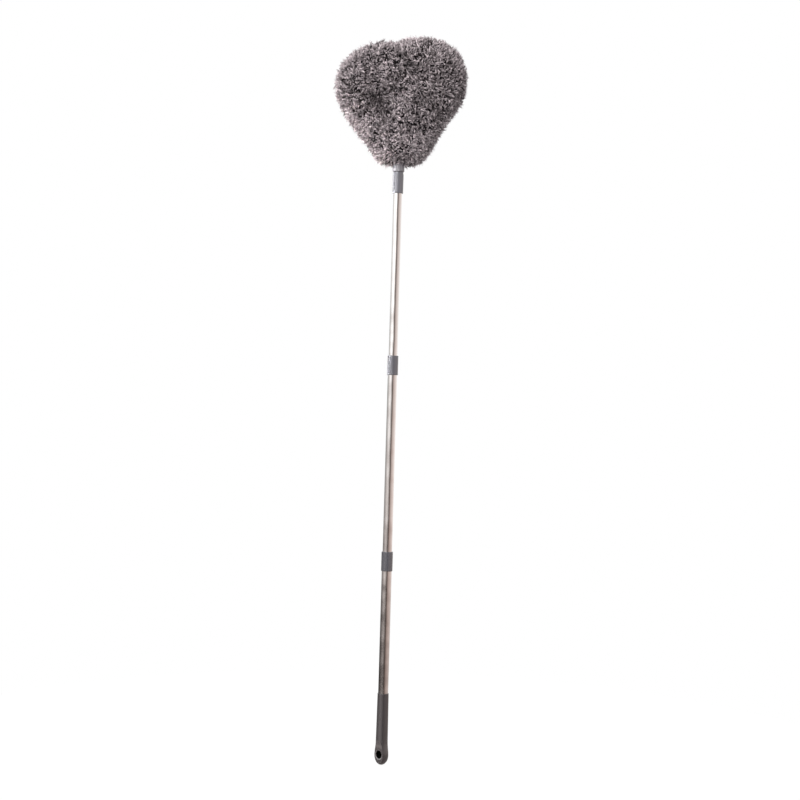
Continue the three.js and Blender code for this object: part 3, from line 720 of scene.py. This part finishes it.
def cut_eye(obj, tip, side):
    """Cuts the flat cheek of the hang eye, the scoop above it and the hole's bevel on one side."""
    height = SCOOP_RISE + GRIP_WAIST_RADIUS
    place = (0, side * (EYE_HALF + CUTTER_WIDTH / 2), tip + SCOOP_RISE - height / 2)
    bpy.ops.object.select_all(action="DESELECT")
    bpy.ops.mesh.primitive_cube_add(size=1, location=place, scale=(CUTTER_WIDTH, CUTTER_WIDTH, height))
    cut(obj, bpy.context.object)
    scoop = (0, side * (EYE_HALF + SCOOP_RADIUS), tip + SCOOP_RISE)
    cut(obj, cylinder(SCOOP_RADIUS, CUTTER_WIDTH, scoop, (0, math.pi / 2, 0)))
    bevel = (0, side * (EYE_HALF - HOLE_SINK / 2), HOLE_HEIGHT)
    more = CUT_BEYOND * HOLE_BEVEL / HOLE_SINK
    narrow = HOLE_RADIUS - more
    broad = HOLE_RADIUS + HOLE_BEVEL + more
    outward = (-side * math.pi / 2, 0, 0)
    cut(obj, cylinder(narrow, HOLE_SINK + 2 * CUT_BEYOND, bevel, outward, broad))


def grip():
    low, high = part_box("handle_grip")
    tip, top = low.z, high.z
    obj = grip_blank(tip, top, outer_radius("handle_grip"))
    for side in (-1, 1):
        cut_eye(obj, tip, side)
    cut(obj, cylinder(HOLE_RADIUS, CUTTER_WIDTH, (0, 0, HOLE_HEIGHT), (math.pi / 2, 0, 0)))
    seat = tip + TUBE_SEAT_RISE
    bore = outer_radius("bottom_tube") + PRESS_GAP
    cut(obj, cylinder(bore, 2 * (top - seat), (0, 0, top)))
    apply_modifier(obj, "REMESH", mode="VOXEL", voxel_size=GRIP_VOXEL)
    apply_modifier(obj, "SMOOTH", **GRIP_SMOOTHING)
    apply_modifier(obj, "DECIMATE", ratio=GRIP_FACES_KEPT)
    bpy.ops.object.shade_smooth()
    fit(obj, "handle_grip_shell", "handle_section", GRIP, "handle_grip")


# Fibre head

def shoulder_height():
    """Of the connector, where the head's socket stops."""
    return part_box("head_socket")[0].z - SEAT_GAP


def heart_points():
    """The wire's middle line, from the right foot over both lobes to the left foot."""
    shoulder = shoulder_height()
    half = [STEM, LEG, LOBE_SIDE, LOBE_CROWN, LOBE_INNER, DIP_SIDE]
    outline = [*half, (0, DIP_HEIGHT), *[(-x, height) for x, height in reversed(half)]]
    points = []
    for x, height in outline:
        rise = HEART_LEAN * x if height > STEM[1] else 0
        points.append(camera_right * x + UP * (shoulder + height + rise))
    return [np.array(point) for point in points]


def root_of_distance(first, second):
    return np.linalg.norm(second - first) ** 0.5


def smooth_line(points):
    """A centripetal curve through points, at even steps."""
    ends = [2 * points[0] - points[1], *points, 2 * points[-1] - points[-2]]
    share = np.linspace(0, 1, CURVE_STEPS, endpoint=False)[:, None]
    line = []
    for before, start, end, after in zip(ends, ends[1:], ends[2:], ends[3:]):
        into = root_of_distance(before, start)
        over = root_of_distance(start, end)
        out = root_of_distance(end, after)
        leave = ((start - before) / into - (end - before) / (into + over) + (end - start) / over) * over
        arrive = ((end - start) / over - (after - start) / (over + out) + (after - end) / out) * over
        cube = 2 * start - 2 * end + leave + arrive
        square = 3 * end - 3 * start - 2 * leave - arrive
        line.append(start + leave * share + square * share**2 + cube * share**3)
    line = np.concatenate([*line, points[-1][None]])
    run = np.concatenate([[0], np.cumsum(np.linalg.norm(np.diff(line, axis=0), axis=1))])
    even = np.arange(0, run[-1], PATH_STEP)
    return np.stack([np.interp(even, run, line[:, axis]) for axis in range(3)], 1)


def unit(vectors):
    return vectors / np.linalg.norm(vectors, axis=-1, keepdims=True)


def sideways(vectors, axis):
    """The part of each vector that lies square to its axis."""
    return vectors - (vectors * axis).sum(-1, keepdims=True) * axis


def neighbour_gap(places, station, path):
    """How far each place is from the runs of wire that its own fibre doesn't grow on."""
    gaps = []
    far = FAR_ALONG / PATH_STEP
    steps = np.arange(len(path))
    for part, own in zip(np.array_split(places, TRY_BATCHES), np.array_split(station, TRY_BATCHES)):
        away = np.linalg.norm(part[:, None] - path[None], axis=2)
        away[np.abs(steps[None] - own[:, None]) < far] = np.inf
        gaps.append(away.min(1))
    return np.concatenate(gaps)


def apart(places, pitch):
    """Indices of places, in their order, that lie no closer than pitch to one taken before."""
    cells = {}
    taken = []
    for index, cell in enumerate(map(tuple, np.floor(places / pitch).astype(int))):
        place = places[index]
        x, y, z = cell
        near = (
            other
            for i in (x - 1, x, x + 1)
            for j in (y - 1, y, y + 1)
            for k in (z - 1, z, z + 1)
            for other in cells.get((i, j, k), ())
        )
        if all(((place - other) ** 2).sum() > pitch * pitch for other in near):
            cells.setdefault(cell, []).append(place)
            taken.append(index)
    return np.array(taken)


def pile_changes(places):
    """How far the pile's reach and its painted light and shade depart from even at each place."""
    across = places @ np.array(camera_right)
    height = places[:, 2] - shoulder_height()
    change = np.zeros((len(places), 2))
    for middle, level, breadth, reach, shade in PILE:
        near = np.exp(-((across - middle) ** 2 + (height - level) ** 2) / breadth**2)
        change += near[:, None] * (reach, shade)
    return change.T


def tuft_tips(draw, path):
    """Each tuft's tip, way out, root on the wire, its direction there, place along it and painted shading."""
    tangent = unit(np.gradient(path, axis=0))
    across = np.array(camera_ahead)
    normal = np.cross(tangent, across)
    foot = FIBRE_REACH * math.sin(FOOT_SPREAD)
    length = PATH_STEP * (len(path) - 1)
    run = draw.uniform(-foot, length + foot, TUFT_TRIES)
    station = np.clip(np.round(run / PATH_STEP), 0, len(path) - 1).astype(int)
    beyond = np.where(run < 0, run, np.where(run > length, run - length, 0)) / FIBRE_REACH
    angle = draw.uniform(0, 2 * math.pi, TUFT_TRIES)[:, None]
    round_wire = normal[station] * np.cos(angle) + across * np.sin(angle)
    out = round_wire * np.sqrt(1 - beyond**2)[:, None] + tangent[station] * beyond[:, None]
    fullness, painted_shading = pile_changes(path[station] + out * FIBRE_REACH)
    reach = FIBRE_REACH + fullness + draw.normal(0, REACH_SPREAD, TUFT_TRIES)
    tips = path[station] + out * reach[:, None]
    kept = neighbour_gap(tips, station, path) > FIBRE_REACH + np.minimum(fullness, 0) + PARTING
    chosen = np.flatnonzero(kept)
    chosen = chosen[apart(tips[chosen], TUFT_PITCH)]
    along = np.where(beyond == 0, 1, 0)[:, None] * tangent[station]
    return tips[chosen], out[chosen], path[station[chosen]], along[chosen], run[chosen], painted_shading[chosen]


def straight_strand():
    """One three-sided strand that keeps most of its thickness and comes to a blunt point."""
    bpy.ops.object.select_all(action="DESELECT")
    bpy.ops.mesh.primitive_circle_add(vertices=3, radius=STRAND_RADIUS, fill_type="NGON")
    obj = bpy.context.object
    start_edit(obj)
    height, radius = 0.0, 1.0
    for new_height, new_radius in (*STRAND_RINGS, (1.0, None)):
        step = (0, 0, (new_height - height) * STRAND_LENGTH)
        bpy.ops.mesh.extrude_region_move(TRANSFORM_OT_translate={"value": step})
        if new_radius is None:
            bpy.ops.mesh.merge(type="CENTER")
        else:
            share = new_radius / radius
            top = (0, 0, new_height * STRAND_LENGTH)
            bpy.ops.transform.resize(value=(share, share, 1), center_override=top)
            height, radius = new_height, new_radius
    end_edit()
    return obj


def corners(obj):
    return np.array([vertex.co for vertex in obj.data.vertices])


def strand_axes(start, end, bulge):
    """A strand's axes aside, towards its bulge and along its chord, and the chord's length."""
    length = np.linalg.norm(end - start, axis=-1, keepdims=True)
    along = (end - start) / length
    outward = unit(sideways(bulge, along))
    return np.stack([np.cross(outward, along), outward, along], -1), length


def curled_strands():
    """The strand's faces, each corner's share of its length, and its corners on a unit chord by curl."""
    straight = straight_strand()
    faces = [tuple(face.vertices) for face in straight.data.polygons]
    along = corners(straight)[:, 2] / STRAND_LENGTH
    shapes = []
    for curl in STRAND_CURLS:
        pick(straight)
        bpy.ops.object.duplicate()
        curled = bpy.context.object
        bend = {"deform_method": "BEND", "deform_axis": "X", "angle": math.radians(curl)}
        apply_modifier(curled, "SIMPLE_DEFORM", limits=(CURL_FROM, 1.0), **bend)
        bent = corners(curled)
        root = bent[np.isclose(along, 0)].mean(0)
        tip = bent[along.argmax()]
        middle = bent[np.isclose(along, STRAND_RINGS[0][0])].mean(0)
        axes, length = strand_axes(root, tip, middle - root)
        shapes.append((bent - root) @ axes / length)
        bpy.data.objects.remove(curled)
    bpy.data.objects.remove(straight)
    return faces, along, np.array(shapes)


def strand_mesh(name, places, faces, along, shade):
    """One mesh of many strands, with a map of shade across and length along."""
    count, per_strand = places.shape[:2]
    corner = np.concatenate([np.array(face) for face in faces])
    sizes = np.array([len(face) for face in faces])
    starts = np.arange(count)[:, None] * per_strand
    loops = (starts + corner[None]).ravel()
    totals = np.tile(sizes, count)
    first_loops = np.concatenate([[0], np.cumsum(totals)[:-1]])
    mesh = bpy.data.meshes.new(name)
    mesh.vertices.add(count * per_strand)
    mesh.vertices.foreach_set("co", places.astype(np.float32).ravel())
    mesh.loops.add(len(loops))
    mesh.loops.foreach_set("vertex_index", loops.astype(np.int32))
    mesh.polygons.add(len(totals))
    mesh.polygons.foreach_set("loop_start", first_loops.astype(np.int32))
    mesh.polygons.foreach_set("use_smooth", np.ones(len(totals), bool))
    side = (np.arange(len(corner)) % COLUMN_STEPS) / COLUMN_STEPS
    column = COLUMN_MARGIN + (1 - 2 * COLUMN_MARGIN) * side
    across = (shade[:, None] + column[None]) / SHADES
    upward = np.broadcast_to(along[corner][None], across.shape)
    layer = mesh.uv_layers.new(name=FIBRE_MAP)
    layer.uv.foreach_set("vector", np.stack([across, upward], 2).astype(np.float32).ravel())
    mesh.update(calc_edges=True)
    mesh.validate()
    obj = bpy.data.objects.new(name, mesh)
    bpy.context.scene.collection.objects.link(obj)
    return obj


def clear_of_socket(strands):
    """Which strands have no corner in the socket."""
    inside = np.hypot(strands[..., 0], strands[..., 1]) < outer_radius("head_socket") + SOCKET_CLEAR
    below = strands[..., 2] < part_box("head_socket")[1].z
    return ~(inside & below).any(-1)


def fibre_tufts(path):
    """Tufts of curled strands that lean in waves, in pieces from one end of the wire to the other."""
    draw = np.random.default_rng(SEED)
    noise.seed_set(SEED)
    tips, out, wire_place, wire, run, painted_shading = tuft_tips(draw, path)
    count = len(tips)
    wave = np.array([noise.noise_vector(Vector(tip) * LEAN_GRAIN) for tip in tips])
    lean = sideways(wave + draw.normal(0, LEAN_SPREAD, (count, 3)), out) * TUFT_LEAN
    depth = np.minimum(CORE_RADIUS - ROOT_DEPTH, np.linalg.norm(tips - wire_place, axis=1) - TUFT_FREE)
    roots = wire_place + unit(out - lean) * depth[:, None]
    bulge = out + draw.normal(0, TUFT_BULGE_SPREAD, (count, 3))

    def each(spread):
        return draw.normal(0, spread, (count, STRANDS, 3))

    stray = (draw.random((count, STRANDS)) < STRAY_SHARE)[:, :, None]
    starts = roots[:, None] + each(ROOT_SPREAD)
    ends = tips[:, None] + sideways(each(TIP_SPREAD) + stray * each(STRAY_SPREAD), out[:, None])
    rise = draw.normal(0, STRAND_SPREAD, (count, STRANDS, 1)) + STRAY_RISE * stray
    ends = ends + out[:, None] * rise
    bulges = bulge[:, None] + each(STRAND_BULGE_SPREAD)
    faces, along, shapes = curled_strands()
    form = draw.integers(0, len(shapes), (count, 1)) + draw.integers(-1, 2, (count, STRANDS))
    form = np.clip(form, 0, len(shapes) - 1)

    def laid():
        axes, length = strand_axes(starts, ends, bulges)
        return starts[:, :, None] + np.einsum("tsij,tsvj->tsvi", axes, shapes[form]) * length[:, :, None]

    def from_wire(places):
        return np.linalg.norm(sideways(places - wire_place[:, None, None], wire[:, None, None]), axis=3)

    overshoot = from_wire(laid()).max(2) - from_wire(ends[:, :, None])[:, :, 0]
    ends = ends - out[:, None] * overshoot[:, :, None]
    strands = laid()
    free = clear_of_socket(strands)
    # the tuft's random tone, plus the painted light and shade of its place
    tuft_shade = draw.normal(MIDDLE_SHADE, TUFT_SHADE_SPREAD, count) + painted_shading
    shade = tuft_shade[:, None] + draw.normal(0, STRAND_SHADE_SPREAD, (count, STRANDS))
    shade = np.floor(np.clip(shade, 0, PALEST_SHADE) * SHADES)
    for part, chosen in enumerate(np.array_split(np.argsort(run), FIBRE_PIECES), 1):
        name = f"fibre_tufts_{part}"
        kept = free[chosen]
        obj = strand_mesh(name, strands[chosen][kept], faces, along, shade[chosen][kept])
        fit(obj, name, "head", FIBRE, "fibre_pile")


def fibre_core(path):
    """Close pile round the wire, under the tufts, painted dark as the shade deep in the pile."""
    bpy.ops.object.select_all(action="DESELECT")
    balls = []
    for place in path[::CORE_PITCH]:
        bpy.ops.mesh.primitive_ico_sphere_add(
            subdivisions=BALL_SUBDIVISIONS, radius=CORE_RADIUS, location=place
        )
        balls.append(bpy.context.object)
    for ball in balls:
        ball.select_set(True)
    bpy.context.view_layer.objects.active = balls[0]
    bpy.ops.object.join()
    bpy.ops.object.transform_apply(location=True, rotation=True, scale=True)
    core = bpy.context.object
    apply_modifier(core, "REMESH", mode="VOXEL", voxel_size=CORE_VOXEL)
    apply_modifier(core, "SMOOTH", **CORE_SMOOTHING)
    bpy.ops.object.shade_smooth()
    fit(core, "fibre_core", "head", FIBRE_CORE, "fibre_pile")


# Studio

def studio_sky():
    """White to the camera, soft light on the object, and a room of pale and dark panels in the steel."""
    world = bpy.data.worlds.new("studio")
    world.use_nodes = True
    bpy.context.scene.world = world
    nodes = Nodes(world.node_tree)
    ray = nodes.add("ShaderNodeTexCoord", output="Generated")
    east = nodes.measure("DOT_PRODUCT", ray, camera_right)
    south = nodes.measure("DOT_PRODUCT", ray, -camera_ahead)
    rise = nodes.component(ray, "Z")
    turn = nodes.add("ShaderNodeMath", {"operation": "ARCTAN2"}, {0: east, 1: south})
    panels = nodes.add("ShaderNodeValToRGB", {"stops": PANELS}, {0: turn * (0.5 / math.pi) + 0.5})
    low_glow = nodes.spread(rise, *LOW_GLOW) * nodes.spread(rise, *LOW_GLOW_FADE)
    left_level = nodes.spread(rise, *LEFT_LOW) + nodes.spread(rise, *LEFT_HIGH) + low_glow
    right_level = nodes.spread(rise, *RIGHT)
    level = left_level + nodes.spread(turn, *LEFT_TO_RIGHT) * (right_level - left_level)
    shade = nodes.add("ShaderNodeCombineColor", {}, {0: level, 1: level, 2: level})
    room = nodes.blend(1.0, panels, shade, "MULTIPLY")
    room = nodes.blend(nodes.spread(rise, *WARMTH), room, WARM_TINT, "MULTIPLY")
    lit = nodes.blend(nodes.ray_is("Glossy"), FILL, room)
    shown = nodes.blend(nodes.ray_is("Camera") + nodes.ray_is("Transmission"), lit, WHITE)
    nodes.feed(world.node_tree.nodes["Background"].inputs["Color"], shown)


def pale_floor():
    """White to the camera, pale to soft light, and not there for reflections."""
    bpy.ops.object.select_all(action="DESELECT")
    place = (0, 0, cad_low.z - FLOOR_DROP)
    bpy.ops.mesh.primitive_circle_add(vertices=SIDES, radius=FLOOR_RADIUS, fill_type="NGON", location=place)
    floor = bpy.context.object
    floor.name = "studio_floor"
    finish = Finish("floor", Base_Color=FLOOR_COLOUR, Roughness=FLOOR_ROUGHNESS)
    own = Value(finish, finish.shader.outputs[0])
    glow = finish.add("ShaderNodeEmission", {}, {"Color": WHITE, "Strength": FLOOR_GLOW})
    seen = FLOOR_GLOW_SHARE * (finish.ray_is("Camera") + finish.ray_is("Transmission"))
    pale = finish.add("ShaderNodeMixShader", {}, {0: seen, 1: own, 2: glow})
    clear = finish.add("ShaderNodeBsdfTransparent")
    mirrored = finish.add("ShaderNodeMixShader", {}, {0: finish.ray_is("Glossy"), 1: pale, 2: clear})
    finish.feed(finish.tree.nodes["Material Output"].inputs["Surface"], mirrored)
    floor.data.materials.append(finish.material)


def area_light(name, place, target, size, power, spread=math.pi):
    light = bpy.data.lights.new(name, "AREA")
    light.shape = "RECTANGLE"
    light.size, light.size_y = size
    light.energy = power
    light.spread = spread
    obj = bpy.data.objects.new(name, light)
    bpy.context.scene.collection.objects.link(obj)
    obj.location = place
    obj.rotation_euler = (target - place).to_track_quat("-Z", "Y").to_euler()
    obj.visible_glossy = False


def lights():
    head = Vector((0, 0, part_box("fibre_pile")[0].z))
    for name, ((right, ahead, up), aim, size, power) in LAMPS.items():
        place = head + camera_right * right + camera_ahead * ahead + UP * up
        area_light(name, place, head + UP * aim, size, power)
    pole = UP * SIDE_LAMP_HEIGHT
    place = pole - camera_right * SIDE_LAMP_AWAY
    area_light("side", place, pole, SIDE_LAMP_SIZE, SIDE_LAMP_POWER, SIDE_LAMP_SPREAD)


def camera():
    data = bpy.data.cameras.new("camera")
    data.lens = LENS
    obj = bpy.data.objects.new("camera", data)
    bpy.context.scene.collection.objects.link(obj)
    target = UP * VIEW_HEIGHT + camera_right * VIEW_ASIDE
    across = camera_right * math.cos(VIEW_ROLL) + UP * math.sin(VIEW_ROLL)
    upward = UP * math.cos(VIEW_ROLL) - camera_right * math.sin(VIEW_ROLL)
    turn = Matrix((across, upward, -camera_ahead)).transposed().to_4x4()
    obj.matrix_world = Matrix.Translation(target - camera_ahead * VIEW_DISTANCE) @ turn
    bpy.context.scene.camera = obj


def inner_pieces():
    """Finish of the pieces that stay as the frame brings them."""
    for node in ("lower_lock_ring", "lower_lock_plug", "upper_lock_ring", "upper_lock_plug"):
        paint(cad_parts[node], LOCK)
    for node in ("crimp_sleeve", "wire_strand_a", "wire_strand_b"):
        paint(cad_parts[node], WIRE)


camera()
bpy.context.scene.view_settings.view_transform = "Standard"
studio_sky()
pale_floor()
lights()
inner_pieces()
grip()
steel_tube("bottom_tube", "handle_section")
steel_tube("middle_tube", "middle_section")
steel_tube("top_tube", "top_section")
ferrule("lower_ferrule", "bottom_tube", "middle_tube", "handle_section")
ferrule("upper_ferrule", "middle_tube", "top_tube", "middle_section")
connector()
socket()
wire_line = smooth_line(heart_points())
fibre_core(wire_line)
fibre_tufts(wire_line)
